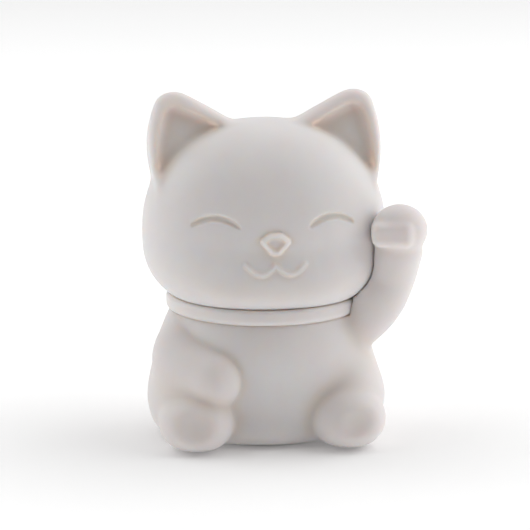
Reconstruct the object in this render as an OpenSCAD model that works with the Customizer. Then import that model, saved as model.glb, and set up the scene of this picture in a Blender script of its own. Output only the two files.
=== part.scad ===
// Beckoning cat figurine: a soft vinyl night light.
// A hollow head, collar and body stand over a small plug-in light module.
// Front faces -Y, up is +Z, the base lies on z = 0. All sizes are in millimetres.

/* [Figure] */
// Height over the ear tips
figure_h = 100; // [99:0.5:102]
// Thickness of the vinyl skin
skin = 2.2; // [1.6:0.1:2.6]
// Half width of the head
head_half_w = 34.8; // [33.8:0.1:35]
// Half depth of the head
head_half_d = 29.2; // [27:0.1:30]
// Half width of the body at the hips
body_half_w = 32.7; // [32:0.1:33.6]
// Radius of the collar band
collar_r = 28; // [27.4:0.1:28.4]
// Underside of the collar band
collar_low = 36.4; // [36:0.1:36.8]
// Height of the collar band
collar_h = 4.3; // [4:0.1:4.6]
// Radius of the tail
tail_r = 6.5; // [5:0.5:8]

/* [Light module] */
// Radius of the flange under the figure
flange_r = 20; // [19.4:0.1:20.4]
// Thickness of the flange
flange_t = 2; // [2:0.1:2.2]
// Outer radius of the module housing
housing_r = 18.2; // [17.6:0.1:18.4]
// Top of the module housing
housing_top = 20; // [19.6:0.1:21]
// Radius of the light dome
dome_r = 10.5; // [9:0.5:11]
// Diameter of a button cell
cell_d = 11.6; // [11.4:0.05:11.6]
// Thickness of a button cell
cell_t = 5.4; // [5.2:0.05:5.4]
// Travel of the switch slider
switch_travel = 2; // [1.5:0.1:2]

/* [Hidden] */
$fa = 4;
$fs = 0.3;
gap = 0.3;
running = 0.05;

// head
head_z = 59;
head_up = 31.9;
head_down = 22.8;
head_full_up = 2.2;
head_full_down = 2.72;
chin_forward = 0.19;
head_slices = 8;
collar_top = collar_low + collar_h;
head_low = collar_top + gap;
neck_r = 17;
neck_wall = 2;
neck_top = head_low + skin + 2.4;
neck_opening = neck_r + gap;
lip_r = neck_r + 1.3;
ear_tip = [26.6, 0.5, figure_h - 2.4];
ear_outer = [30.4, 0, 79.5];
ear_inner = [11.5, 0, 87.3];
dish_depth = 4;

// body
body_z = 12;
body_taper = 0.01;
body_flat = 0.8;
body_top = collar_low;
edge_r = 6;
floor_t = 5;
base_opening = housing_r + 0.4;
recess_r = flange_r + 0.4;
recess_h = flange_t + gap;
foot = [21.6, -22, 8.4];
foot_size = [10.7, 11.6, 9];
haunch = [21, -8, 12];
haunch_size = [12.6, 18, 12.5];
raised_arm_path = [[21.8, -6.6, 31.2], [27, -9.8, 34.9], [31.3, -12.2, 40.4],
                   [34.6, -13.4, 47], [36.3, -16, 55]];
raised_arm_r = [8, 8, 7.8, 7.2, 7.2];
raised_paw = [36.3, -19.2, 61.5];
raised_paw_size = [8, 7.8, 7.4];
lowered_arm_path = [[-21.2, 0, 30.4], [-22.8, -7, 28], [-23.8, -13.5, 24], [-16.6, -23.8, 21]];
lowered_arm_r = [7.6, 8.4, 8.9, 7.9];
tail_at = [0, 28, 12];
head_turn = 5;

// light module
plate_top = flange_t;
bay_len = 19.6;
bay_w = 12.2;
bay_wall = 1;
door_t = 1.2;
door_len = 29.6;
door_w = 13.4;
door_corner = 2;
cell_z = door_t + 0.4 + cell_d / 2;
bay_top = cell_z + cell_d / 2 + 0.4;
cells_end = bay_len / 2 - 0.35;
spring_end = cells_end - 3 * cell_t;
spring_turns = 2;
spring_wire_r = 0.25;
contact_t = 0.3;
contact_w = 8;
tail_len = 2.4;
tail_z = bay_top - 2.8;
door_screw_x = 12.7;
door_post_r = 2;
door_post_h = 8;
screw_r = 0.8;
head_screw_r = 1.7;
door_screw_len = 6;
housing_wall = 1.3;
housing_inner = housing_r - housing_wall;
housing_screw_at = 15.4;
housing_screw_angles = [60, 120, 270];
housing_post_r = 2.2;
housing_post_top = 13.5;
housing_screw_len = 8;
board_r = 14.6;
board_t = 1;
board_z = bay_top + bay_wall + 0.6;
board_top = board_z + board_t;
led_r = 2.5;
led_rim_r = 2.9;
led_rim_t = 1;
led_body_h = 6;
led_z = board_top + 0.8;
led_window = 6;
dome_wall = 1.2;
dome_foot_r = dome_r + 2;
dome_foot_t = 1;
dome_h = 8.2;
switch_y = 11.2;
switch_len = 8.6;
switch_w = 3.6;
switch_h = 3.6;
slider_len = 2;
slider_w = 1.5;
slot_len = slider_len + switch_travel + 2 * gap;
slot_w = slider_w + 2 * 0.2;
wire_r = 0.45;
solder_z = tail_z + contact_t + wire_r + 0.02;
lug_z = plate_top + switch_h + 1.8 + wire_r + 0.02;
resistor_r = 1.1;
resistor_len = 6;
resistor_y = -8.2;

// ---- shapes that repeat

module ellipsoid(at, size, fn = 28) {
    translate(at) scale(size) sphere(r = 1, $fn = fn);
}

module both_sides() {
    for (side = [0, 1]) mirror([side, 0, 0]) children();
}

// a limb is a chain of balls joined by straight skins
module limb(path, radii) {
    for (i = [0 : len(path) - 2])
        hull() {
            translate(path[i]) sphere(r = radii[i], $fn = 24);
            translate(path[i + 1]) sphere(r = radii[i + 1], $fn = 24);
        }
}

module rod(from, to, r) {
    way = to - from;
    turn = atan2(way[1], way[0]);
    tilt = acos(way[2] / norm(way));
    translate(from) rotate([0, tilt, turn]) cylinder(r = r, h = norm(way));
}

// a bent wire: short straight skins between small balls
module wire(path, r) {
    for (i = [0 : len(path) - 2])
        hull() {
            translate(path[i]) sphere(r = r, $fn = 10);
            translate(path[i + 1]) sphere(r = r, $fn = 10);
        }
}

module rounded_plate(length, width, height, r) {
    both_sides()
        for (y = [-1, 1]) translate([length / 2 - r, y * (width / 2 - r), 0]) cylinder(r = r, h = height);
    translate([-length / 2 + r, -width / 2, 0]) cube([length - 2 * r, width, height]);
    translate([-length / 2, -width / 2 + r, 0]) cube([length, width - 2 * r, height]);
}

module countersunk_screw(length) {
    cylinder(r1 = head_screw_r, r2 = screw_r, h = 1.1);
    cylinder(r = screw_r, h = length);
}

// ---- figure

// half width and height of the head for a latitude, a full curve above and below
function head_power(lat) = lat > 0 ? head_full_up : head_full_down;
function head_span(lat) = lat > 0 ? head_up : head_down;
function head_r(lat) = pow(cos(lat), 2 / head_power(lat));
function chin_share(rise) = max(0, min(1, -rise / (head_z - head_low)));
function chin(rise) = 1 + chin_forward * pow(chin_share(rise), 2) * (3 - 2 * chin_share(rise));
function head_rise(lat) = sign(lat) * pow(abs(sin(lat)), 2 / head_power(lat)) * head_span(lat);

module head_form(inset) {
    hull()
        for (i = [-head_slices : head_slices]) {
            lat = i * 89 / head_slices;
            k = head_r(lat);
            translate([0, 0, head_z + head_rise(lat) * (1 - inset / head_span(lat))])
                scale([(head_half_w - inset) * k, (head_half_d * chin(head_rise(lat)) - inset) * k, 1])
                    cylinder(r = 1, h = 0.01, $fn = 48);
        }
}

module ear() {
    hull() {
        translate(ear_tip) sphere(r = 2.4, $fn = 24);
        ellipsoid(ear_outer, [4, 6.5, 4], 24);
        ellipsoid(ear_inner, [4, 6.5, 4], 24);
    }
}

module ear_dish() {
    hull()
        for (corner = [[26, 94.5], [14.5, 90], [30.2, 79.5]])
            translate([corner[0], -dish_depth - 8, corner[1]]) rotate([-90, 0, 0])
                cylinder(r1 = 2.2, r2 = 0.6, h = 8.2 + 0.08 * (figure_h - corner[1]), $fn = 16);
}

module head_shell() {
    color("whitesmoke") difference() {
        union() {
            head_form(0);
            both_sides() ear();
            nose();
        }
        head_form(skin);
        both_sides() ear_dish();
        cylinder(r = neck_opening, h = head_z, $fn = 72);
        translate([0, 0, head_low - 20]) cylinder(r = 60, h = 20);
    }
    color("whitesmoke") head_rim();
}

module nose() {
    hull() {
        ellipsoid([0, -28.6, 61.4], [3.6, 2, 1.6], 16);
        ellipsoid([0, -28.6, 58.8], [1.2, 2, 1.2], 16);
    }
}

// flat ring that closes the underside of the head down to the neck
module head_rim() {
    difference() {
        intersection() {
            head_form(0.05);
            translate([0, 0, head_low]) cylinder(r = 60, h = skin);
        }
        translate([0, 0, head_low - 1]) cylinder(r = neck_opening, h = skin + 2, $fn = 72);
    }
}

module collar_ring() {
    band_r = 1.3;
    color("whitesmoke") rotate_extrude() {
        // proud band with rounded edges
        translate([neck_r - neck_wall, collar_low]) square([collar_r - band_r - neck_r + neck_wall, collar_h]);
        translate([collar_r - band_r - 0.1, collar_low + band_r]) square([band_r + 0.1, collar_h - 2 * band_r]);
        for (z = [collar_low + band_r, collar_top - band_r])
            translate([collar_r - band_r, z]) circle(r = band_r);
        // tube that plugs into the body, tube that the head turns on, and its retaining lip
        translate([neck_r - neck_wall, collar_low - 6]) square([neck_wall, 6.01]);
        translate([neck_r - neck_wall, collar_top - 0.01]) square([neck_wall, neck_top - collar_top]);
        translate([neck_r - neck_wall, head_low + skin + gap]) square([lip_r - neck_r + neck_wall, 1.6]);
    }
}

function body_r(z) = body_half_w - body_taper * pow(z - body_z, 2);
function body_depth(z) = body_flat + (1 - body_flat) * pow(sin(90 * max(0, min(1, (z - 8) / (body_top - 8)))), 2);
function edge_in(z) = z < edge_r ? edge_r - sqrt(edge_r * edge_r - pow(edge_r - z, 2)) : 0;

module body_form(inset, low) {
    hull()
        for (z = [low, low + 0.8, low + 2, low + 4, low + 6.5, 10, 13, 17, 21, 25, 29, 32.5, body_top - inset])
            translate([0, 0, z]) {
                r = body_r(z) - edge_in(z - (inset > 0 ? low : 0)) - inset;
                scale([r, r * body_depth(z), 1]) cylinder(r = 1, h = 0.01, $fn = 48);
            }
}

module body_shell() {
    color("whitesmoke") difference() {
        union() {
            body_form(0, 0);
            both_sides() {
                ellipsoid(foot, foot_size);
                ellipsoid(haunch, haunch_size);
            }
            limb(lowered_arm_path, lowered_arm_r);
            limb(raised_arm_path, raised_arm_r);
            hull() {
                translate(raised_arm_path[4]) sphere(r = raised_arm_r[4], $fn = 24);
                ellipsoid(raised_paw, raised_paw_size, 28);
            }
            ellipsoid(tail_at, [tail_r, tail_r, tail_r], 28);
        }
        body_form(skin, floor_t);
        // neck, base opening and flange recess
        cylinder(r = neck_r + running, h = body_top + 1, $fn = 72);
        cylinder(r = base_opening, h = floor_t + 4, $fn = 72);
        translate([0, 0, -1]) cylinder(r = recess_r, h = recess_h + 1, $fn = 72);
        // flat base, collar seat, and room for the head to turn a little beside the raised arm
        translate([0, 0, -20]) cylinder(r = 60, h = 20);
        translate([0, 0, body_top]) cylinder(r = collar_r + gap, h = collar_h + 2 * gap, $fn = 72);
        head_sweep();
    }
}

// the head in its middle and end positions, a little larger all round
module head_sweep() {
    for (turn = [-head_turn, 0, head_turn]) rotate(turn) head_form(-gap);
}

// ---- light module

module base_plate() {
    color("white") difference() {
        union() {
            cylinder(r = flange_r, h = flange_t);
            translate([-bay_len / 2 - bay_wall, -bay_w / 2 - bay_wall, 0])
                cube([bay_len + 2 * bay_wall, bay_w + 2 * bay_wall, bay_top + bay_wall]);
            both_sides() translate([door_screw_x, 0, 0]) cylinder(r = door_post_r, h = door_post_h);
        }
        translate([-bay_len / 2, -bay_w / 2, -1]) cube([bay_len, bay_w, bay_top + 1]);
        translate([0, 0, -0.01]) rounded_plate(door_len + 2 * 0.15, door_w + 2 * 0.15, door_t + 0.1, door_corner);
        both_sides() translate([door_screw_x, 0, -1]) cylinder(r = screw_r + running, h = door_post_h);
        for (angle = housing_screw_angles)
            rotate(angle) translate([housing_screw_at, 0, 0]) {
                translate([0, 0, -1]) cylinder(r = screw_r + 0.1, h = flange_t + 2);
                translate([0, 0, -0.01]) cylinder(r1 = head_screw_r + 0.15, r2 = screw_r + 0.15, h = 1.3);
            }
        translate([-slot_len / 2, switch_y - slot_w / 2, -1]) cube([slot_len, slot_w, flange_t + 2]);
        // contact tails leave through the bay's ends
        for (side = [-1, 1])
            translate([side * (bay_len / 2 + bay_wall / 2) - 1, -1.2, bay_top - 3]) cube([2, 2.4, 1.6]);
    }
}

module module_housing() {
    color("white") difference() {
        union() {
            difference() {
                translate([0, 0, plate_top]) cylinder(r = housing_r, h = housing_top - plate_top);
                translate([0, 0, plate_top - 1]) cylinder(r = housing_inner, h = housing_top - plate_top - housing_wall + 1);
            }
            for (angle = housing_screw_angles)
                rotate(angle) translate([housing_screw_at, 0, plate_top]) {
                    cylinder(r = housing_post_r, h = housing_post_top - plate_top);
                    translate([0, -0.6, 0]) cube([housing_inner - housing_screw_at + 0.5, 1.2, housing_post_top - plate_top]);
                }
        }
        cylinder(r = led_window, h = housing_top + 1);
        for (angle = housing_screw_angles)
            rotate(angle) translate([housing_screw_at, 0, 0]) cylinder(r = screw_r, h = housing_screw_len + 1.5);
        for (angle = [0, 120, 240])
            rotate(angle) translate([dome_r + 0.6, 0, housing_top - 5]) cylinder(r = 0.9, h = 6);
    }
}

module light_dome() {
    color("snow") translate([0, 0, housing_top]) {
        rotate_extrude() {
            difference() {
                intersection() {
                    translate([0, dome_h + dome_foot_t - dome_r]) circle(r = dome_r);
                    square([dome_r, dome_h + dome_foot_t]);
                }
                intersection() {
                    translate([0, dome_h + dome_foot_t - dome_r]) circle(r = dome_r - dome_wall);
                    translate([-1, -1]) square([dome_r, dome_h + dome_foot_t + 1]);
                }
            }
            translate([dome_r - dome_wall, 0]) square([dome_foot_r - dome_r + dome_wall, dome_foot_t]);
        }
        for (angle = [0, 120, 240])
            rotate(angle) translate([dome_r + 0.6, 0, -1.6]) cylinder(r = 0.85, h = 1.8);
    }
}

module circuit_board() {
    color("seagreen") translate([0, 0, board_z]) difference() {
        cylinder(r = board_r, h = board_t);
        for (x = [-1.27, 1.27]) translate([x, 0, -1]) cylinder(r = 0.4, h = board_t + 2);
        for (x = [-resistor_len / 2 - 1.4, resistor_len / 2 + 1.4])
            translate([x, resistor_y, -1]) cylinder(r = 0.4, h = board_t + 2);
        for (angle = [0, 120, 240]) rotate(angle) translate([board_r, 0, -1]) cylinder(r = 1, h = board_t + 2);
    }
}

module led() {
    color("ivory") translate([0, 0, led_z]) {
        cylinder(r = led_rim_r, h = led_rim_t);
        cylinder(r = led_r, h = led_body_h);
        translate([0, 0, led_body_h]) intersection() {
            sphere(r = led_r);
            translate([-led_r, -led_r, -0.01]) cube([2 * led_r, 2 * led_r, led_r + 0.01]);
        }
    }
}

module led_leads() {
    color("silver") for (x = [-1.27, 1.27])
        translate([x, 0, board_z - 0.5]) cylinder(r = 0.28, h = led_z - board_z + 0.5);
}

module resistor() {
    z = board_top + resistor_r + 0.1;
    end = resistor_len / 2 + 1.4;
    color("tan") translate([-resistor_len / 2, resistor_y, z]) rotate([0, 90, 0]) cylinder(r = resistor_r, h = resistor_len);
    color("silver") {
        rod([-end, resistor_y, z], [end, resistor_y, z], 0.3);
        for (x = [-end, end]) {
            rod([x, resistor_y, board_z - 0.5], [x, resistor_y, z], 0.3);
            translate([x, resistor_y, z]) sphere(r = 0.3);
        }
    }
}

module switch_body() {
    color("dimgray") difference() {
        translate([-switch_len / 2, switch_y - switch_w / 2, plate_top + 0.05]) cube([switch_len, switch_w, switch_h]);
        translate([-slot_len / 2 - 0.5, switch_y - slot_w / 2 - 0.2, plate_top - 1])
            cube([slot_len + 1, slot_w + 0.4, 1 + 2.2]);
    }
    color("silver") for (x = [-2.5, 0, 2.5])
        translate([x - 0.4, switch_y - 0.2, plate_top + switch_h]) cube([0.8, 0.4, 1.8]);
}

module switch_slider() {
    color("black") translate([-switch_travel / 2, switch_y, 0]) {
        translate([-slider_len / 2, -slider_w / 2, 0.3]) cube([slider_len, slider_w, plate_top + 1.4]);
        translate([-slider_len / 2 - 0.5, -slider_w / 2 - 0.2, plate_top + 0.5])
            cube([slider_len + 1, slider_w + 0.4, 1.2]);
    }
}

module button_cell(number) {
    color("lightsteelblue") translate([cells_end - (number - 1) * cell_t, 0, cell_z]) rotate([0, -90, 0]) {
        cylinder(r = cell_d / 2, h = cell_t - 0.9);
        cylinder(r = cell_d / 2 - 0.9, h = cell_t - 0.05);
    }
}

// a cone of wire turns that ends on a flat tab
module negative_spring() {
    steps = 10;
    tab = -bay_len / 2 + 0.05;
    path = [for (i = [0 : spring_turns * steps]) spring_point(i / steps, tab + contact_t + 0.2)];
    color("silver") {
        wire(path, spring_wire_r);
        translate([tab, -contact_w / 2, cell_z - contact_w / 2]) cube([contact_t, contact_w, contact_w + 2]);
        translate([tab - tail_len + contact_t, -1, tail_z]) cube([tail_len, 2, contact_t]);
    }
}

function spring_point(turn, from) =
    let (r = 3.6 - 1.8 * turn / spring_turns, span = spring_end - 0.3 - from)
    [from + span * turn / spring_turns, r * cos(360 * turn), cell_z + r * sin(360 * turn)];

module positive_contact() {
    color("silver") {
        translate([bay_len / 2 - contact_t - 0.02, -contact_w / 2, cell_z - contact_w / 2])
            cube([contact_t, contact_w, contact_w + 2]);
        translate([bay_len / 2 - contact_t - 0.02, -1, tail_z]) cube([tail_len, 2, contact_t]);
    }
}

module battery_door() {
    color("white") difference() {
        union() {
            rounded_plate(door_len, door_w, door_t, door_corner);
            for (x = [-5, 0, 5]) translate([x - 0.5, -4, door_t - 0.01]) cube([1, 8, 0.3]);
        }
        both_sides() translate([door_screw_x, 0, 0]) {
            translate([0, 0, -1]) cylinder(r = screw_r + running, h = door_t + 2);
            translate([0, 0, -0.01]) cylinder(r1 = head_screw_r + 0.07, r2 = screw_r + 0.07, h = 1.12);
        }
        for (x = [-8.4 : 1.2 : -3.6]) translate([x - 0.25, -3, -1]) cube([0.5, 6, 1.4]);
    }
}

module door_screws() {
    color("silver") both_sides() translate([door_screw_x, 0, 0.02]) countersunk_screw(door_screw_len);
}

module housing_screws() {
    color("silver") for (angle = housing_screw_angles)
        rotate(angle) translate([housing_screw_at, 0, 0.1]) countersunk_screw(housing_screw_len);
}

// ---- wires: contact to switch, spring tab to board, switch to board

module wire_red() {
    color("firebrick") wire([[11.5, 0, solder_z], [13.4, 3, solder_z + 0.6], [12.6, 7, 11],
                             [8, 10.5, 9.5], [2.5, switch_y, lug_z]], wire_r);
}

module wire_black() {
    color("black") wire([[-11.5, 0, solder_z], [-12.9, 1.5, solder_z + 0.4], [-13.1, 3.5, board_z - 1.6],
                         [-12.4, 5, board_z - 0.5]], wire_r);
}

module wire_white() {
    color("white") wire([[0, switch_y, lug_z], [-2, 11.5, lug_z + 2.2], [-5, 11.5, board_z - 2.6],
                         [-6, 9.5, board_z - 0.5]], wire_r);
}

head_shell();
collar_ring();
body_shell();
base_plate();
module_housing();
light_dome();
circuit_board();
led();
led_leads();
resistor();
switch_body();
switch_slider();
button_cell(1);  // button_cell_1
button_cell(2);  // button_cell_2
button_cell(3);  // button_cell_3
negative_spring();
positive_contact();
battery_door();
door_screws();
housing_screws();
wire_red();
wire_black();
wire_white();
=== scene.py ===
"""Beckoning cat night light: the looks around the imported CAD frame.

The vinyl skins are sculpted as signed distance fields in millimetres, meshed on a grid and
pulled onto the exact surface. The light module keeps its CAD bodies and gets its finishes here.
"""

import math

import bpy
import numpy as np
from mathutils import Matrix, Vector


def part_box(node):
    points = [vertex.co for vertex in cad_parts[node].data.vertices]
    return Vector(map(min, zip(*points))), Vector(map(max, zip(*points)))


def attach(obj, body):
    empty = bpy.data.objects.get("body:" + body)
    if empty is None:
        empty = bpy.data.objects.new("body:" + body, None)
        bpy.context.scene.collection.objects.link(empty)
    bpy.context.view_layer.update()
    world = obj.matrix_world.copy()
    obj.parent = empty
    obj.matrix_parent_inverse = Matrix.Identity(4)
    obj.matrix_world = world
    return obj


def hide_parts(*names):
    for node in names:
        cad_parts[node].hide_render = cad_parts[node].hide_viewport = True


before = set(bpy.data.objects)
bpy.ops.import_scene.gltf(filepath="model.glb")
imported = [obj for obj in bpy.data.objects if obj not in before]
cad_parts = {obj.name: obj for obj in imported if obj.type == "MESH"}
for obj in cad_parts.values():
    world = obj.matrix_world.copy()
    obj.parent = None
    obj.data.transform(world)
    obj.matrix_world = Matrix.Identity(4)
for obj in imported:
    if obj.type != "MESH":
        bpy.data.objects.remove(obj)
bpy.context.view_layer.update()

MM = 0.001


def node_box(name):
    """Lowest and highest corner of a CAD node, in millimetres."""
    low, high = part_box(name)
    return np.array(low) / MM, np.array(high) / MM


# ---------------------------------------------------------------- driving sizes, in millimetres
head_low_corner, head_high_corner = node_box("head_shell")
plate_high_corner = node_box("base_plate")[1]
housing_high_corner = node_box("module_housing")[1]
collar_high_corner = node_box("collar_ring")[1]

SKIN = 2.2
HEAD_LOW = round(float(head_low_corner[2]), 2)
HEAD_HALF_W = round(float(head_high_corner[0]), 2)
HEAD_HALF_D = 29.2
HEAD_Z = 59.0
HEAD_UP = 31.9
HEAD_DOWN = 22.8
HEAD_FULL_UP = 2.2
HEAD_FULL_DOWN = 2.72
HEAD_FULL_PLAN = 2.12
NECK_OPENING = 17.3
NECK_OPENING_H = 10.0

COLLAR_R = collar_high_corner[0]
COLLAR_TOP = HEAD_LOW - 0.1
COLLAR_LOW = COLLAR_TOP - 4.5
COLLAR_EDGE = 1.7
COLLAR_LIP = 1.1
LIP = 0.5
NECK_R = 17.0
NECK_WALL = 2.0
NECK_END = 20.0
SEAT_GAP = 0.15

BODY_HALF_W = 32.7
BODY_Z = 12.0
BODY_TAPER = 0.0100
BODY_FLAT = 0.80
BODY_EDGE = 6.0
CHIN_FORWARD = 0.19
FLOOR_T = 5.0
BASE_OPENING = housing_high_corner[0] + 0.4
RECESS_R = plate_high_corner[0] + 0.4
BASE_OPENING_H = 12.0
RECESS_H = 2.3

FINE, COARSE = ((0.45, 0.8))


# ---------------------------------------------------------------- distance fields
def smooth_min(a, b, k):
    h = np.maximum(k - np.abs(a - b), 0.0) / k
    return np.minimum(a, b) - h * h * h * k / 6.0


def smooth_max(a, b, k):
    return -smooth_min(-a, -b, k)


def round_max(a, b, r):
    """Intersection whose edge is a fillet of radius r."""
    return np.minimum(np.maximum(a, b), -r) + np.hypot(np.maximum(a + r, 0), np.maximum(b + r, 0))


def ellipsoid(p, centre, size):
    size = np.array(size)
    q = (p - np.array(centre)) / size
    k0 = np.sqrt((q * q).sum(-1)) + 1e-9
    k1 = np.sqrt(((q / size) ** 2).sum(-1)) + 1e-9
    return k0 * (k0 - 1.0) / k1


def round_cone(p, a, b, ra, rb):
    a, b = np.array(a, float), np.array(b, float)
    along = b - a
    t = np.clip(((p - a) @ along) / (along @ along), 0, 1)
    return np.linalg.norm(p - a - t[..., None] * along, axis=-1) - (ra + (rb - ra) * t)


def round_box(p, centre, half, r, turn=0.0):
    """A box with rounded edges, turned about Z by turn degrees."""
    q = p - np.array(centre)
    c, s = math.cos(math.radians(turn)), math.sin(math.radians(turn))
    q = np.stack([c * q[..., 0] + s * q[..., 1], -s * q[..., 0] + c * q[..., 1], q[..., 2]], -1)
    q = np.abs(q) - (np.array(half) - r)
    return np.linalg.norm(np.maximum(q, 0), axis=-1) + np.minimum(q.max(-1), 0) - r


def plane(p, point, normal):
    normal = np.array(normal, float)
    return (p - np.array(point)) @ (normal / np.linalg.norm(normal))


def mirrored(p):
    """The same point on the +X side, for shapes that come in left and right pairs."""
    q = p.copy()
    q[..., 0] = np.abs(q[..., 0])
    return q


def path_distance(p, path):
    """Distance in the X-Z plane from p to a bent line, and how far along it from 0 to 1."""
    xz = p[..., [0, 2]]
    best = np.full(xz.shape[:-1], 1e9)
    place = np.zeros(xz.shape[:-1])
    count = len(path) - 1
    for i in range(count):
        along = path[i + 1] - path[i]
        t = np.clip(((xz - path[i]) @ along) / (along @ along), 0, 1)
        d = np.linalg.norm(xz - path[i] - t[..., None] * along, axis=-1)
        place = np.where(d < best, (i + t) / count, place)
        best = np.minimum(best, d)
    return best, place


# ---------------------------------------------------------------- head
EAR_SIDE = ((-2.9, 84.0), 36.0)
EAR_TOP_LINE = ((14.5, 93.9), 31.8)
EAR_TIP_ROUND = 7.0
EAR_BLEND = 2.6
DISH_SIDE = ((-8.8, 79.5), 39.3)
DISH_TOP_LINE = ((13.4, 89.6), 25.2)
DISH_LOW = 77.0
EYE_AT = (16.3, 64.6)
EYE_HALF_W = 6.6
EYE_RISE = 2.7
NOSE_AT = (0.0, 60.4)
MOUTH_AT = 54.4
MOUTH_HALF_W = 8.3
MOUTH_DROP = 2.6


def head_form(p):
    x, y, z = p[..., 0], p[..., 1], p[..., 2] - HEAD_Z
    n = HEAD_FULL_PLAN
    low = np.clip(-z / (HEAD_Z - HEAD_LOW), 0, 1)
    depth = HEAD_HALF_D * (1 + CHIN_FORWARD * low * low * (3 - 2 * low))
    q = ((np.abs(x) / HEAD_HALF_W) ** n + (np.abs(y) / depth) ** n) ** (1 / n)
    up = z > 0
    t = np.where(up, z / HEAD_UP, -z / HEAD_DOWN)
    m = np.where(up, HEAD_FULL_UP, HEAD_FULL_DOWN)
    g = (q ** m + t ** m + 1e-12) ** (1 / m)
    return np.sqrt(x * x + y * y + z * z) * (1 - 1 / g)


def ear_outline(p, side, top_line):
    """Curved outer side and straight upper side of an ear, seen from the front."""
    (cx, cz), radius = side
    outer = np.hypot(p[..., 0] - cx, p[..., 2] - cz) - radius
    (lx, lz), slope = top_line
    a = math.radians(slope)
    return outer, (p[..., 0] - lx) * -math.sin(a) + (p[..., 2] - lz) * math.cos(a)


def ear(p):
    q = mirrored(p)
    outline = round_max(*ear_outline(q, EAR_SIDE, EAR_TOP_LINE), EAR_TIP_ROUND)
    front = plane(q, (26, -6.6, 84), (0.0, -0.95, 0.30))
    back = plane(q, (26, 7.0, 84), (0.0, 0.95, 0.32))
    thick = smooth_max(front, back, 5.0)
    solid = round_max(outline, thick, 2.6)
    dish = round_max(*ear_outline(q, DISH_SIDE, DISH_TOP_LINE), 3.4)
    dish = round_max(dish, DISH_LOW - q[..., 2], 1.5)
    dish = round_max(dish, -(front + 3.3), 2.4)
    return smooth_max(solid, -dish, 3.6)


def eye_path():
    t = np.linspace(-1, 1, 13)
    return np.stack([EYE_AT[0] + EYE_HALF_W * t, EYE_AT[1] + EYE_RISE * (1 - t * t)], -1)


def mouth_path():
    """Half of the mouth on the +X side: down from the middle, round one lobe and up to the corner."""
    t = np.linspace(0, 1, 13)
    x = MOUTH_HALF_W * t
    z = MOUTH_AT - MOUTH_DROP * np.sin(np.pi * t) ** 0.9 + 0.2 * t
    return np.stack([x, z], -1)


def outline_distance(x, z, corners):
    """Distance to a convex outline, corners given anticlockwise, negative inside."""
    best = np.full(x.shape, 1e9)
    inside = np.ones(x.shape, bool)
    for (ax, az), (bx, bz) in zip(corners, corners[1:] + corners[:1]):
        ex, ez = bx - ax, bz - az
        t = np.clip(((x - ax) * ex + (z - az) * ez) / (ex * ex + ez * ez), 0, 1)
        best = np.minimum(best, np.hypot(x - ax - t * ex, z - az - t * ez))
        inside &= ex * (z - az) - ez * (x - ax) > 0
    return np.where(inside, -best, best)


def nose(p, skin_distance):
    """A low six-sided boss, wide above the middle, with a broad rounded rim round a shallow dish."""
    x, z = p[..., 0] - NOSE_AT[0], p[..., 2] - NOSE_AT[1]
    half = [(-1.3, 2.0), (-3.1, 0.7), (-0.7, -2.0)]
    corners = half + [(-cx, cz) for cx, cz in reversed(half)]
    outline = outline_distance(x, z, corners) - 1.15
    boss = round_max(outline, skin_distance - 1.5, 1.1)
    dish = round_max(outline + 1.5, 0.9 - skin_distance, 0.4)
    return smooth_max(boss, -dish, 0.6)


def head_surface(p):
    """The head with ears and face, before it is hollowed."""
    base = head_form(p)
    d = smooth_min(base, ear(p), EAR_BLEND)
    q = mirrored(p)
    facing = p[..., 1] < 0
    across, place = path_distance(q, eye_path())
    depth = 0.85 * np.sqrt(np.clip(1 - (2 * place - 1) ** 4, 0, 1))
    groove = np.hypot(across, base * 1.1) - depth
    d = np.where(facing, smooth_max(d, -groove, 0.5), d)
    across, place = path_distance(q, mouth_path())
    bead = np.hypot(across, base) - (0.68 - 0.1 * place)
    d = np.where(facing, smooth_min(d, bead, 0.9), d)
    boss = nose(p, base)
    return np.where(facing, smooth_min(d, boss, 0.5), d)


def head_plain(p):
    """The head without its face, which the inside follows."""
    d = smooth_min(head_form(p), ear(p), EAR_BLEND)
    return smooth_max(d, HEAD_LOW - p[..., 2], LIP)


def head_shell(p):
    outer = smooth_max(head_surface(p), HEAD_LOW - p[..., 2], LIP)
    hollow = head_plain(p) + SKIN
    shell = smooth_max(outer, -hollow, 0.6)
    opening = np.hypot(p[..., 0], p[..., 1]) - NECK_OPENING
    bore = np.maximum(opening, p[..., 2] - (HEAD_LOW + NECK_OPENING_H))
    return smooth_max(shell, -bore, 0.8)


# ---------------------------------------------------------------- body
RAISED_ARM = [
    ((15.0, -2.0, 27.5), 7.4),
    ((21.8, -6.6, 31.2), 8.0),
    ((27.0, -9.8, 34.9), 8.0),
    ((31.3, -12.2, 40.4), 7.8),
    ((34.6, -13.4, 47.0), 7.2),
    ((36.3, -16.0, 55.0), 7.2),
]
PAW = ((36.5, -18.6, 61.5), (7.9, 7.4, 7.3))
PAW_FRONT = ((33.9, -22.4, 61.2), (5.8, 4.2, 3.5))
HEAD_TURN = 5.0
SWEEP_GAP = 0.3
LOWERED_ARM = [
    ((-21.2, 0.0, 30.4), 7.6),
    ((-22.8, -7.0, 28.0), 8.4),
    ((-23.8, -13.5, 24.0), 8.9),
    ((-16.6, -23.8, 21.0), 7.9),
]
FOOT = ((21.6, -22.0, 8.4), (10.7, 12.0, 9.0))
HAUNCH = ((21.0, -8.0, 12.0), (12.6, 18.0, 12.5))
TAIL = ((0.0, 28.0, 12.0), (6.5, 6.5, 6.5))


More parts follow.
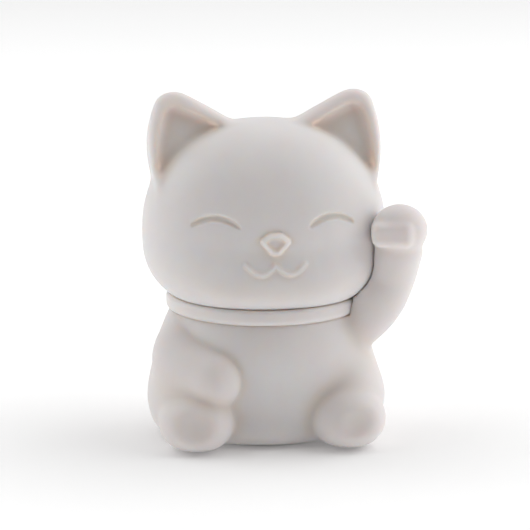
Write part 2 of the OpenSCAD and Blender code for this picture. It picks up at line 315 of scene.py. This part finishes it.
def limb(p, joints, steps=8):
    """A rounded limb along the smooth curve through its joints, each a centre and a radius."""
    knots = np.array([[*centre, radius] for centre, radius in joints])
    knots = np.vstack([2 * knots[0] - knots[1], knots, 2 * knots[-1] - knots[-2]])
    curve = []
    for i in range(1, len(knots) - 2):
        a, b, c, d = knots[i - 1:i + 3]
        for t in np.arange(steps) / steps:
            curve.append(b + t * (c - a) / 2 + t * t * (a - 2.5 * b + 2 * c - d / 2)
                         + t * t * t * (1.5 * (b - c) + (d - a) / 2))
    curve = np.array(curve + [knots[-2]])
    middle = (curve.min(0) + curve.max(0))[:3] / 2
    reach = np.linalg.norm(curve[:, :3] - middle, axis=1).max() + curve[:, 3].max()
    distance = np.linalg.norm(p - middle, axis=-1) - reach
    near = distance < 10
    q = p[near]
    close = np.full(len(q), 1e9)
    for a, b in zip(curve, curve[1:]):
        close = np.minimum(close, round_cone(q, a[:3], b[:3], a[3], b[3]))
    distance[near] = close
    return distance


def body_form(p):
    x, y, z = p[..., 0], p[..., 1], np.clip(p[..., 2], -5, 45)
    t = np.clip((z - 8.0) / (COLLAR_LOW - 8.0), 0, 1)
    depth = BODY_FLAT + (1 - BODY_FLAT) * t * t * (3 - 2 * t)
    rho = np.hypot(x, y / depth)
    return (rho - (BODY_HALF_W - BODY_TAPER * (z - BODY_Z) ** 2)) * 0.95


def feet(p):
    q = mirrored(p)
    d = ellipsoid(q, *FOOT)
    sole = plane(q, (23.0, -32.6, 8.6), (0.16, -0.97, 0.10))
    d = smooth_max(d, sole, 2.5)
    dimple = ellipsoid(q, (24.0, -34.0, 9.0), (5.6, 2.0, 4.4))
    return smooth_max(d, -dimple, 1.6)


def raised_arm(p):
    d = limb(p, RAISED_ARM)
    d = smooth_min(d, ellipsoid(p, *PAW), 2.5)
    front = round_box(p, PAW_FRONT[0], PAW_FRONT[1], 2.3, turn=-8)
    return smooth_min(d, front, 2.0)


def head_sweep(p):
    """The space the head passes through as it turns, plus a gap, kept free beside the raised arm."""
    room = head_form(p)
    for turn in (-HEAD_TURN, HEAD_TURN):
        c, w = math.cos(math.radians(turn)), math.sin(math.radians(turn))
        q = np.stack([c * p[..., 0] + w * p[..., 1], -w * p[..., 0] + c * p[..., 1], p[..., 2]], -1)
        room = np.minimum(room, head_form(q))
    return room - SWEEP_GAP


def body_surface(p):
    d = smooth_max(body_form(p), p[..., 2] - COLLAR_LOW, 0.6)
    d = round_max(d, -p[..., 2], BODY_EDGE)
    haunch = ellipsoid(mirrored(p), *HAUNCH)
    d = smooth_min(d, haunch, 6.0)
    d = smooth_min(d, smooth_min(limb(p, LOWERED_ARM), haunch, 9.0), 1.3)
    d = smooth_min(d, feet(p), 3.0)
    d = smooth_min(d, raised_arm(p), 5.0)
    d = smooth_min(d, ellipsoid(p, *TAIL), 2.5)
    d = smooth_max(d, -head_sweep(p), 0.5)
    rho = np.hypot(p[..., 0], p[..., 1])
    seat = np.maximum(rho - (COLLAR_R + SEAT_GAP), COLLAR_LOW - p[..., 2])
    seat = np.maximum(seat, p[..., 2] - (COLLAR_TOP + 0.3))
    d = smooth_max(d, -seat, 0.3)
    return round_max(d, -p[..., 2], 2.2)


def body_shell(p):
    outer = body_surface(p)
    z = p[..., 2]
    rho = np.hypot(p[..., 0], p[..., 1])
    hollow = smooth_max(body_form(p) + SKIN, FLOOR_T - z, 3.0)
    hollow = smooth_max(hollow, z - (COLLAR_LOW - SKIN), 3.0)
    shell = smooth_max(outer, -hollow, 0.6)
    neck = np.maximum(rho - (NECK_R + 0.1), NECK_END - z)
    opening = np.maximum(rho - BASE_OPENING, z - BASE_OPENING_H)
    recess = np.maximum(rho - RECESS_R, z - RECESS_H)
    for cut in (neck, opening, recess):
        shell = smooth_max(shell, -cut, 0.5)
    return shell


# ---------------------------------------------------------------- meshing
def axis_steps(low, high, fine_spans):
    """Grid lines from low to high, close together inside the fine spans."""
    lines = [low]
    while lines[-1] < high:
        x = lines[-1]
        near = any(a - COARSE <= x < b for a, b in fine_spans)
        lines.append(x + (FINE if near else COARSE))
    return np.array(lines)


def sample(field, axes):
    """The field on the grid, worked out exactly only in blocks near the surface."""
    shape = tuple(len(a) for a in axes)
    values = np.empty(shape)
    step = 8
    for i in range(0, shape[0], step):
        for j in range(0, shape[1], step):
            for k in range(0, shape[2], step):
                part = [axes[0][i:i + step], axes[1][j:j + step], axes[2][k:k + step]]
                middle = np.array([(a[0] + a[-1]) / 2 for a in part])
                reach = np.linalg.norm([(a[-1] - a[0]) / 2 for a in part]) + COARSE
                value = field(middle[None])[0]
                if abs(value) < reach * 1.5 + 1.0:
                    value = field(np.stack(np.meshgrid(*part, indexing="ij"), -1))
                values[i:i + step, j:j + step, k:k + step] = value
    return values


def surface_net(values, axes):
    """Vertices and quads of the zero surface: one vertex in each cell that the surface crosses."""
    inside = values < 0
    nx, ny, nz = values.shape
    corners = np.array([(i, j, k) for i in (0, 1) for j in (0, 1) for k in (0, 1)])
    count = np.zeros((nx - 1, ny - 1, nz - 1), np.int8)
    for i, j, k in corners:
        count += inside[i:nx - 1 + i, j:ny - 1 + j, k:nz - 1 + k]
    cells = np.argwhere((count > 0) & (count < 8))
    index = -np.ones(count.shape, np.int64)
    index[tuple(cells.T)] = np.arange(len(cells))

    def place(grid):
        return np.stack([axes[a][grid[:, a]] for a in range(3)], -1)

    total = np.zeros((len(cells), 3))
    crossings = np.zeros(len(cells))
    for a in range(8):
        for b in range(a + 1, 8):
            if np.abs(corners[a] - corners[b]).sum() != 1:
                continue
            ga, gb = cells + corners[a], cells + corners[b]
            fa, fb = values[tuple(ga.T)], values[tuple(gb.T)]
            crossed = (fa < 0) != (fb < 0)
            t = np.where(crossed, fa / np.where(crossed, fa - fb, 1), 0)[:, None]
            total += (place(ga) * (1 - t) + place(gb) * t) * crossed[:, None]
            crossings += crossed
    vertices = total / crossings[:, None]

    quads = []
    for axis in range(3):
        u, w = (axis + 1) % 3, (axis + 2) % 3
        a = np.take(inside, range(inside.shape[axis] - 1), axis)
        b = np.take(inside, range(1, inside.shape[axis]), axis)
        edges = np.argwhere(a != b)
        du, dw = np.eye(3, dtype=int)[u], np.eye(3, dtype=int)[w]
        ring = [edges - du - dw, edges - dw, edges, edges - du]
        quad = np.stack([index[tuple(g.T)] for g in ring], -1)
        outward = inside[tuple(edges.T)]
        quad[~outward] = quad[~outward][:, ::-1]
        quads.append(quad)
    return vertices, np.concatenate(quads)


def gradient(field, points, eps=0.02):
    return np.stack([(field(points + e) - field(points - e)) / (2 * eps) for e in np.eye(3) * eps], -1)


def settle(vertices, field, rounds=3):
    """Moves the vertices onto the exact surface."""
    for _ in range(rounds):
        g = gradient(field, vertices)
        move = g * (field(vertices) / np.maximum((g * g).sum(-1), 0.1))[:, None]
        length = np.linalg.norm(move, axis=-1)
        vertices = vertices - move * np.minimum(1, 0.4 / np.maximum(length, 1e-9))[:, None]
    return vertices


def shade_in_folds(vertices, field):
    """How shut in by the surface each point lies, 0 on open skin and 1 deep in a tight fold: how much painted
    shade it gets.
    """
    normal = gradient(field, vertices)
    normal /= np.maximum(np.linalg.norm(normal, axis=-1), 1e-6)[:, None]
    amount = np.zeros(len(vertices))
    for reach, share in ((1.2, 0.3), (3.0, 0.35), (6.0, 0.35)):
        open_way = field(vertices + normal * reach) / reach
        amount += share * np.clip(1 - open_way, 0, 1)
    return np.clip(amount * 1.4, 0, 1)


def link(name, mesh):
    piece = bpy.data.objects.new(name, mesh)
    bpy.context.scene.collection.objects.link(piece)
    return piece


def sculpt(name, field, low, high, fine_x, fine_z):
    """A smooth mesh of a distance field, with the painted shade of its folds stored as a number on each
    vertex.
    """
    axes = [axis_steps(a, b, spans) for a, b, spans in zip(low, high, (fine_x, (), fine_z))]
    vertices, quads = surface_net(sample(field, axes), axes)
    vertices = settle(vertices, field)
    mesh = bpy.data.meshes.new(name)
    mesh.from_pydata((vertices * MM).tolist(), [], quads.tolist())
    mesh.validate()
    mesh.shade_smooth()
    # painted shade: each vertex stores how far it lies in a fold, and the vinyl darkens and warms it as if
    # shaded
    fold_shade = mesh.attributes.new("fold_shade", "FLOAT", "POINT")
    fold_shade.data.foreach_set("value", shade_in_folds(vertices, field).astype(np.float32))
    return link(name, mesh)


def lathe(name, outline, steps=160):
    """Turns a closed outline of (radius, z) points, in millimetres, about Z."""
    rings = len(outline)
    vertices = []
    for i in range(steps):
        a = 2 * math.pi * i / steps
        vertices += [(r * math.cos(a) * MM, r * math.sin(a) * MM, z * MM) for r, z in outline]
    faces = []
    for i in range(steps):
        for j in range(rings):
            near, far = i * rings, (i + 1) % steps * rings
            k = (j + 1) % rings
            faces.append((near + j, far + j, far + k, near + k))
    mesh = bpy.data.meshes.new(name)
    mesh.from_pydata(vertices, [], faces)
    mesh.shade_smooth()
    return link(name, mesh)


def paint_fold_shade(piece, amount):
    """Stores the painted fold shade of each vertex of a piece, from a function of its place in millimetres.
    """
    fold_shade = piece.data.attributes.new("fold_shade", "FLOAT", "POINT")
    fold_shade.data.foreach_set("value", [amount(v.co / MM) for v in piece.data.vertices])


def corner_arc(r, z, radius, start, steps=8):
    """A quarter circle of (radius, z) points about (r, z), anticlockwise from start degrees."""
    angles = [math.radians(start + 90 * i / steps) for i in range(steps + 1)]
    return [(r + radius * math.cos(a), z + radius * math.sin(a)) for a in angles]


# ---------------------------------------------------------------- materials
def new_material(name):
    material = bpy.data.materials.new(name)
    material.use_nodes = True
    return material, material.node_tree, material.node_tree.nodes["Principled BSDF"]


def add(tree, kind, **sockets):
    node = tree.nodes.new(kind)
    for key, value in sockets.items():
        node.inputs[key.replace("_", " ")].default_value = value
    return node


def grain(tree, scale, detail=3.0, stretch=None):
    """A noise in the object's own coordinates; scale is features per metre."""
    where = add(tree, "ShaderNodeTexCoord")
    noise = add(tree, "ShaderNodeTexNoise", Scale=scale, Detail=detail)
    if stretch is None:
        tree.links.new(where.outputs["Object"], noise.inputs["Vector"])
    else:
        mapping = add(tree, "ShaderNodeMapping", Scale=stretch)
        tree.links.new(where.outputs["Object"], mapping.inputs["Vector"])
        tree.links.new(mapping.outputs["Vector"], noise.inputs["Vector"])
    return noise


def ramp(tree, source, *stops):
    node = add(tree, "ShaderNodeValToRGB")
    node.color_ramp.interpolation = "LINEAR"
    elements = node.color_ramp.elements
    while len(elements) < len(stops):
        elements.new(0.5)
    for element, (position, colour) in zip(elements, stops):
        element.position = position
        element.color = (*colour, 1)
    tree.links.new(source, node.inputs["Fac"])
    return node


def grey(value):
    return (value, value, value)


def bump(tree, shader, source, distance, strength=1.0):
    node = add(tree, "ShaderNodeBump", Strength=strength, Distance=distance)
    tree.links.new(source, node.inputs["Height"])
    tree.links.new(node.outputs["Normal"], shader.inputs["Normal"])
    return node


def vinyl():
    """Soft white PVC: matte and a little translucent, with painted shade that makes its folds darker and
    warmer and a faint painted glow in the deepest folds.
    """
    material, tree, shader = new_material("vinyl")
    fold_shade = add(tree, "ShaderNodeAttribute")
    fold_shade.attribute_name = "fold_shade"
    # painted shade: the base colour turns darker and warmer the deeper a vertex lies in a fold
    tone = ramp(tree, fold_shade.outputs["Fac"], (0.0, (0.84, 0.80, 0.79)), (0.3, (0.82, 0.76, 0.72)),
                (1.0, (0.85, 0.745, 0.66)))
    # painted glow: the deepest folds give off a faint warm light
    painted_glow = add(tree, "ShaderNodeMapRange", From_Min=0.75, From_Max=1.0, To_Min=0.0, To_Max=0.10)
    tree.links.new(fold_shade.outputs["Fac"], painted_glow.inputs["Value"])
    tree.links.new(painted_glow.outputs["Result"], shader.inputs["Emission Strength"])
    shader.inputs["Emission Color"].default_value = (1.0, 0.88, 0.78, 1)
    cloud = grain(tree, 70.0, 2.0)
    patch = ramp(tree, cloud.outputs["Fac"], (0.35, (0.975, 0.965, 0.97)), (0.65, (1.0, 1.0, 1.0)))
    mix = add(tree, "ShaderNodeMix")
    mix.data_type = "RGBA"
    mix.blend_type = "MULTIPLY"
    mix.inputs["Factor"].default_value = 1.0
    tree.links.new(tone.outputs["Color"], mix.inputs["A"])
    tree.links.new(patch.outputs["Color"], mix.inputs["B"])
    tree.links.new(mix.outputs["Result"], shader.inputs["Base Color"])
    fine = grain(tree, 5200.0, 2.0)
    shine = ramp(tree, fine.outputs["Fac"], (0.3, grey(0.52)), (0.7, grey(0.64)))
    tree.links.new(shine.outputs["Color"], shader.inputs["Roughness"])
    bump(tree, shader, fine.outputs["Fac"], 0.00002, 0.5)
    shader.inputs["Subsurface Weight"].default_value = 1.0
    shader.inputs["Subsurface Radius"].default_value = (1.0, 0.78, 0.62)
    shader.inputs["Subsurface Scale"].default_value = 0.003
    shader.inputs["Specular IOR Level"].default_value = 0.35
    shader.inputs["Sheen Weight"].default_value = 0.3
    shader.inputs["Sheen Roughness"].default_value = 0.4
    return material


def moulded(name, low, high, rough=(0.42, 0.55), scale=2600.0, depth=0.00002, specular=0.5):
    """Hard moulded plastic with a fine spark-eroded texture."""
    material, tree, shader = new_material(name)
    cloud = grain(tree, 160.0, 2.0)
    tone = ramp(tree, cloud.outputs["Fac"], (0.35, low), (0.65, high))
    tree.links.new(tone.outputs["Color"], shader.inputs["Base Color"])
    fine = grain(tree, scale, 3.0)
    shine = ramp(tree, fine.outputs["Fac"], (0.3, grey(rough[0])), (0.7, grey(rough[1])))
    tree.links.new(shine.outputs["Color"], shader.inputs["Roughness"])
    bump(tree, shader, fine.outputs["Fac"], depth, 0.6)
    shader.inputs["Specular IOR Level"].default_value = specular
    return material


def metal(name, low, high, rough=(0.22, 0.4), scale=900.0, stretch=(1, 1, 1)):
    """Plated or drawn metal with fine lines along one way."""
    material, tree, shader = new_material(name)
    lines = grain(tree, scale, 4.0, stretch)
    tone = ramp(tree, lines.outputs["Fac"], (0.3, low), (0.7, high))
    tree.links.new(tone.outputs["Color"], shader.inputs["Base Color"])
    shine = ramp(tree, lines.outputs["Fac"], (0.3, grey(rough[0])), (0.7, grey(rough[1])))
    tree.links.new(shine.outputs["Color"], shader.inputs["Roughness"])
    bump(tree, shader, lines.outputs["Fac"], 0.00001, 0.4)
    shader.inputs["Metallic"].default_value = 1.0
    return material


# ---------------------------------------------------------------- make the skins
skin_material = vinyl()

head = sculpt("head", head_shell, (-37, -34, 40), (37, 32, 103),
              fine_x=[(-26, 26)], fine_z=[(50, 71)])
body = sculpt("body", body_shell, (-40, -41, -1.5), (49, 37, 73),
              fine_x=[(30, 47)], fine_z=[(56, 72)])

neck_in = NECK_R - NECK_WALL
band = [(neck_in, COLLAR_LOW - 6), (NECK_R, COLLAR_LOW - 6), (NECK_R, COLLAR_LOW), (NECK_R + 2, COLLAR_LOW)]
band += corner_arc(COLLAR_R - COLLAR_EDGE, COLLAR_LOW + COLLAR_EDGE, COLLAR_EDGE, -90)
band += corner_arc(COLLAR_R - COLLAR_LIP, COLLAR_TOP - COLLAR_LIP, COLLAR_LIP, 0)
band += [(NECK_R + 2, COLLAR_TOP), (NECK_R, COLLAR_TOP)]
band += [(NECK_R + out, COLLAR_TOP + up)
         for out, up in ((0, 2.8), (1.0, 2.9), (1.3, 3.3), (1.0, 4.2), (0, 4.8))]
band += [(neck_in, COLLAR_TOP + 4.8)]
collar = lathe("collar", band)
# painted shade on the collar: full on its inner parts under the head and against the neck, fading to none on
# its outer face
paint_fold_shade(collar, lambda p: min(1.0, max(0.0, (COLLAR_R - 0.5 - math.hypot(p.x, p.y)) / 0.8)))

for piece, node, body_name in ((head, "head_shell", "head"), (body, "body_shell", "figure"),
                               (collar, "collar_ring", "figure")):
    piece.data.materials.append(skin_material)
    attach(piece, body_name)
    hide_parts(node)

# ---------------------------------------------------------------- finishes of the light module
WHITE_LOW, WHITE_HIGH = (0.84, 0.84, 0.82), (0.865, 0.865, 0.845)
finishes = {
    "base_plate": moulded("white_abs", WHITE_LOW, WHITE_HIGH),
    "light_dome": moulded("frosted_dome", (0.86, 0.86, 0.84), (0.93, 0.93, 0.91), (0.3, 0.4)),
    "circuit_board": moulded("board", (0.02, 0.13, 0.05), (0.03, 0.2, 0.08), (0.2, 0.3)),
    "led": moulded("led_epoxy", (0.86, 0.84, 0.74), (0.94, 0.92, 0.82), (0.08, 0.16)),
    "led_leads": metal("tinned_metal", (0.62, 0.62, 0.60), (0.78, 0.78, 0.76)),
    "resistor": moulded("resistor_body", (0.52, 0.38, 0.2), (0.62, 0.48, 0.28), (0.25, 0.35)),
    "switch_body": metal("switch_case", (0.55, 0.55, 0.53), (0.7, 0.7, 0.68)),
    "switch_slider": moulded("black_knob", (0.015, 0.015, 0.016), (0.03, 0.03, 0.032)),
    "button_cell_1": metal("cell_steel", (0.62, 0.62, 0.61), (0.8, 0.8, 0.79), stretch=(6, 1, 1)),
    "negative_spring": metal("contact_metal", (0.66, 0.64, 0.58), (0.8, 0.78, 0.73)),
    "door_screws": metal("screw_steel", (0.5, 0.5, 0.51), (0.66, 0.66, 0.67)),
    "wire_red": moulded("red_pvc", (0.4, 0.012, 0.012), (0.55, 0.02, 0.02), (0.3, 0.4)),
    "wire_black": moulded("black_pvc", (0.012, 0.012, 0.012), (0.025, 0.025, 0.025), (0.3, 0.4)),
    "wire_white": moulded("white_pvc", (0.78, 0.78, 0.76), (0.86, 0.86, 0.84), (0.3, 0.4)),
}
same_as = {
    "module_housing": "base_plate",
    "battery_door": "base_plate",
    "positive_contact": "negative_spring",
    "housing_screws": "door_screws",
    "button_cell_2": "button_cell_1",
    "button_cell_3": "button_cell_1",
}

# rounding of the moulded and pressed edges, in millimetres
EDGES = {
    "base_plate": 0.25,
    "module_housing": 0.4,
    "battery_door": 0.2,
    "light_dome": 0.15,
    "switch_slider": 0.15,
    "button_cell_1": 0.3,
    "button_cell_2": 0.3,
    "button_cell_3": 0.3,
    "door_screws": 0.1,
    "housing_screws": 0.1,
}

for name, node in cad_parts.items():
    if name in ("head_shell", "collar_ring", "body_shell"):
        continue
    finish = finishes[same_as.get(name, name)]
    node.data.materials.clear()
    node.data.materials.append(finish)
    if name in EDGES:
        edge = node.modifiers.new("edge", "BEVEL")
        edge.width, edge.segments = EDGES[name] * MM, 2
        edge.limit_method, edge.angle_limit = "ANGLE", math.radians(40)

# ---------------------------------------------------------------- floor, light, camera
FLOOR_HALF = 4
floor_mesh = bpy.data.meshes.new("floor")
floor_mesh.from_pydata([(x * FLOOR_HALF, y * FLOOR_HALF, 0) for x, y in ((-1, -1), (1, -1), (1, 1), (-1, 1))],
                       [], [(0, 1, 2, 3)])
floor = link("floor", floor_mesh)
floor_material, floor_tree, floor_shader = new_material("floor")
floor_shader.inputs["Base Color"].default_value = (0.94, 0.94, 0.94, 1)
floor_shader.inputs["Roughness"].default_value = 0.9
floor_shader.inputs["Specular IOR Level"].default_value = 0.0
# the floor glows so that it reads white; the glow is painted light, weaker near the figure and stronger away
# from it, which paints a soft shadow round the figure
floor_shader.inputs["Emission Color"].default_value = (1, 1, 1, 1)
away = add(floor_tree, "ShaderNodeTexCoord")
reach = floor_tree.nodes.new("ShaderNodeVectorMath")
reach.operation = "LENGTH"
floor_tree.links.new(away.outputs["Object"], reach.inputs[0])
painted_glow = add(floor_tree, "ShaderNodeMapRange", From_Min=0.035, From_Max=0.2, To_Min=0.10, To_Max=0.34)
floor_tree.links.new(reach.outputs["Value"], painted_glow.inputs["Value"])
floor_tree.links.new(painted_glow.outputs["Result"], floor_shader.inputs["Emission Strength"])
floor.data.materials.append(floor_material)

world = bpy.data.worlds.new("studio")
bpy.context.scene.world = world
world.use_nodes = True
tree = world.node_tree
tree.nodes.clear()
output = tree.nodes.new("ShaderNodeOutputWorld")
seen = add(tree, "ShaderNodeBackground", Color=(1, 1, 1, 1), Strength=1.1)
lit = add(tree, "ShaderNodeBackground", Color=(1, 1, 1, 1))
path = add(tree, "ShaderNodeLightPath")
mix = add(tree, "ShaderNodeMixShader")
tree.links.new(path.outputs["Is Camera Ray"], mix.inputs["Fac"])
tree.links.new(lit.outputs[0], mix.inputs[1])
tree.links.new(seen.outputs[0], mix.inputs[2])
tree.links.new(mix.outputs[0], output.inputs["Surface"])


def calculate(tree, operation, first, second):
    """A math node; each of the two values is a number or another node's output."""
    node = tree.nodes.new("ShaderNodeMath")
    node.operation = operation
    for socket, value in zip(node.inputs, (first, second)):
        if isinstance(value, (int, float)):
            socket.default_value = value
        else:
            tree.links.new(value, socket)
    return node.outputs[0]


# a light tent: walls that glow to the right and behind, and an open dark front
AMBIENT = 0.2
TENT_WALLS = (("X", 1, 0.45), ("Y", 1, 0.35), ("Y", -1, -0.2))
sky = tree.nodes.new("ShaderNodeTexCoord")
way = tree.nodes.new("ShaderNodeSeparateXYZ")
tree.links.new(sky.outputs["Generated"], way.inputs[0])
total = AMBIENT
for axis, sign, share in TENT_WALLS:
    side = calculate(tree, "MAXIMUM", calculate(tree, "MULTIPLY", way.outputs[axis], sign), 0)
    total = calculate(tree, "ADD", calculate(tree, "MULTIPLY", side, share), total)
tree.links.new(total, lit.inputs["Strength"])


def softbox(name, place, aim, width, height, power):
    light = bpy.data.lights.new(name, "AREA")
    light.shape = "RECTANGLE"
    light.size, light.size_y, light.energy = width, height, power
    lamp = bpy.data.objects.new(name, light)
    lamp.location = place
    lamp.rotation_euler = (Vector(place) - Vector(aim)).to_track_quat("Z", "Y").to_euler()
    bpy.context.scene.collection.objects.link(lamp)


middle = (0, 0, 0.05)
softbox("left", (-0.8, 0.12, 0.6), middle, 1.2, 1.0, 3.8)
softbox("right", (0.8, 0.05, 0.6), middle, 1.2, 1.0, 4.3)
softbox("top", (0.0, 0.15, 0.95), middle, 1.1, 1.0, 2.9)

AZIMUTH, ELEVATION = -6.5, 12.0
DISTANCE = 1.0
VIEW_WIDTH = 0.152
AIM = Vector((0.0004, 0.0, 0.0483))
camera = bpy.data.cameras.new("camera")
viewer = bpy.data.objects.new("camera", camera)
bpy.context.scene.collection.objects.link(viewer)
bpy.context.scene.camera = viewer
a, e = math.radians(AZIMUTH), math.radians(ELEVATION)
back = Vector((math.sin(a) * math.cos(e), -math.cos(a) * math.cos(e), math.sin(e)))
viewer.location = AIM + back * DISTANCE
viewer.rotation_euler = back.to_track_quat("Z", "Y").to_euler()
camera.sensor_width = 36
camera.lens = camera.sensor_width * DISTANCE / VIEW_WIDTH
camera.clip_start = 0.01
bpy.context.scene.view_settings.view_transform = "Standard"
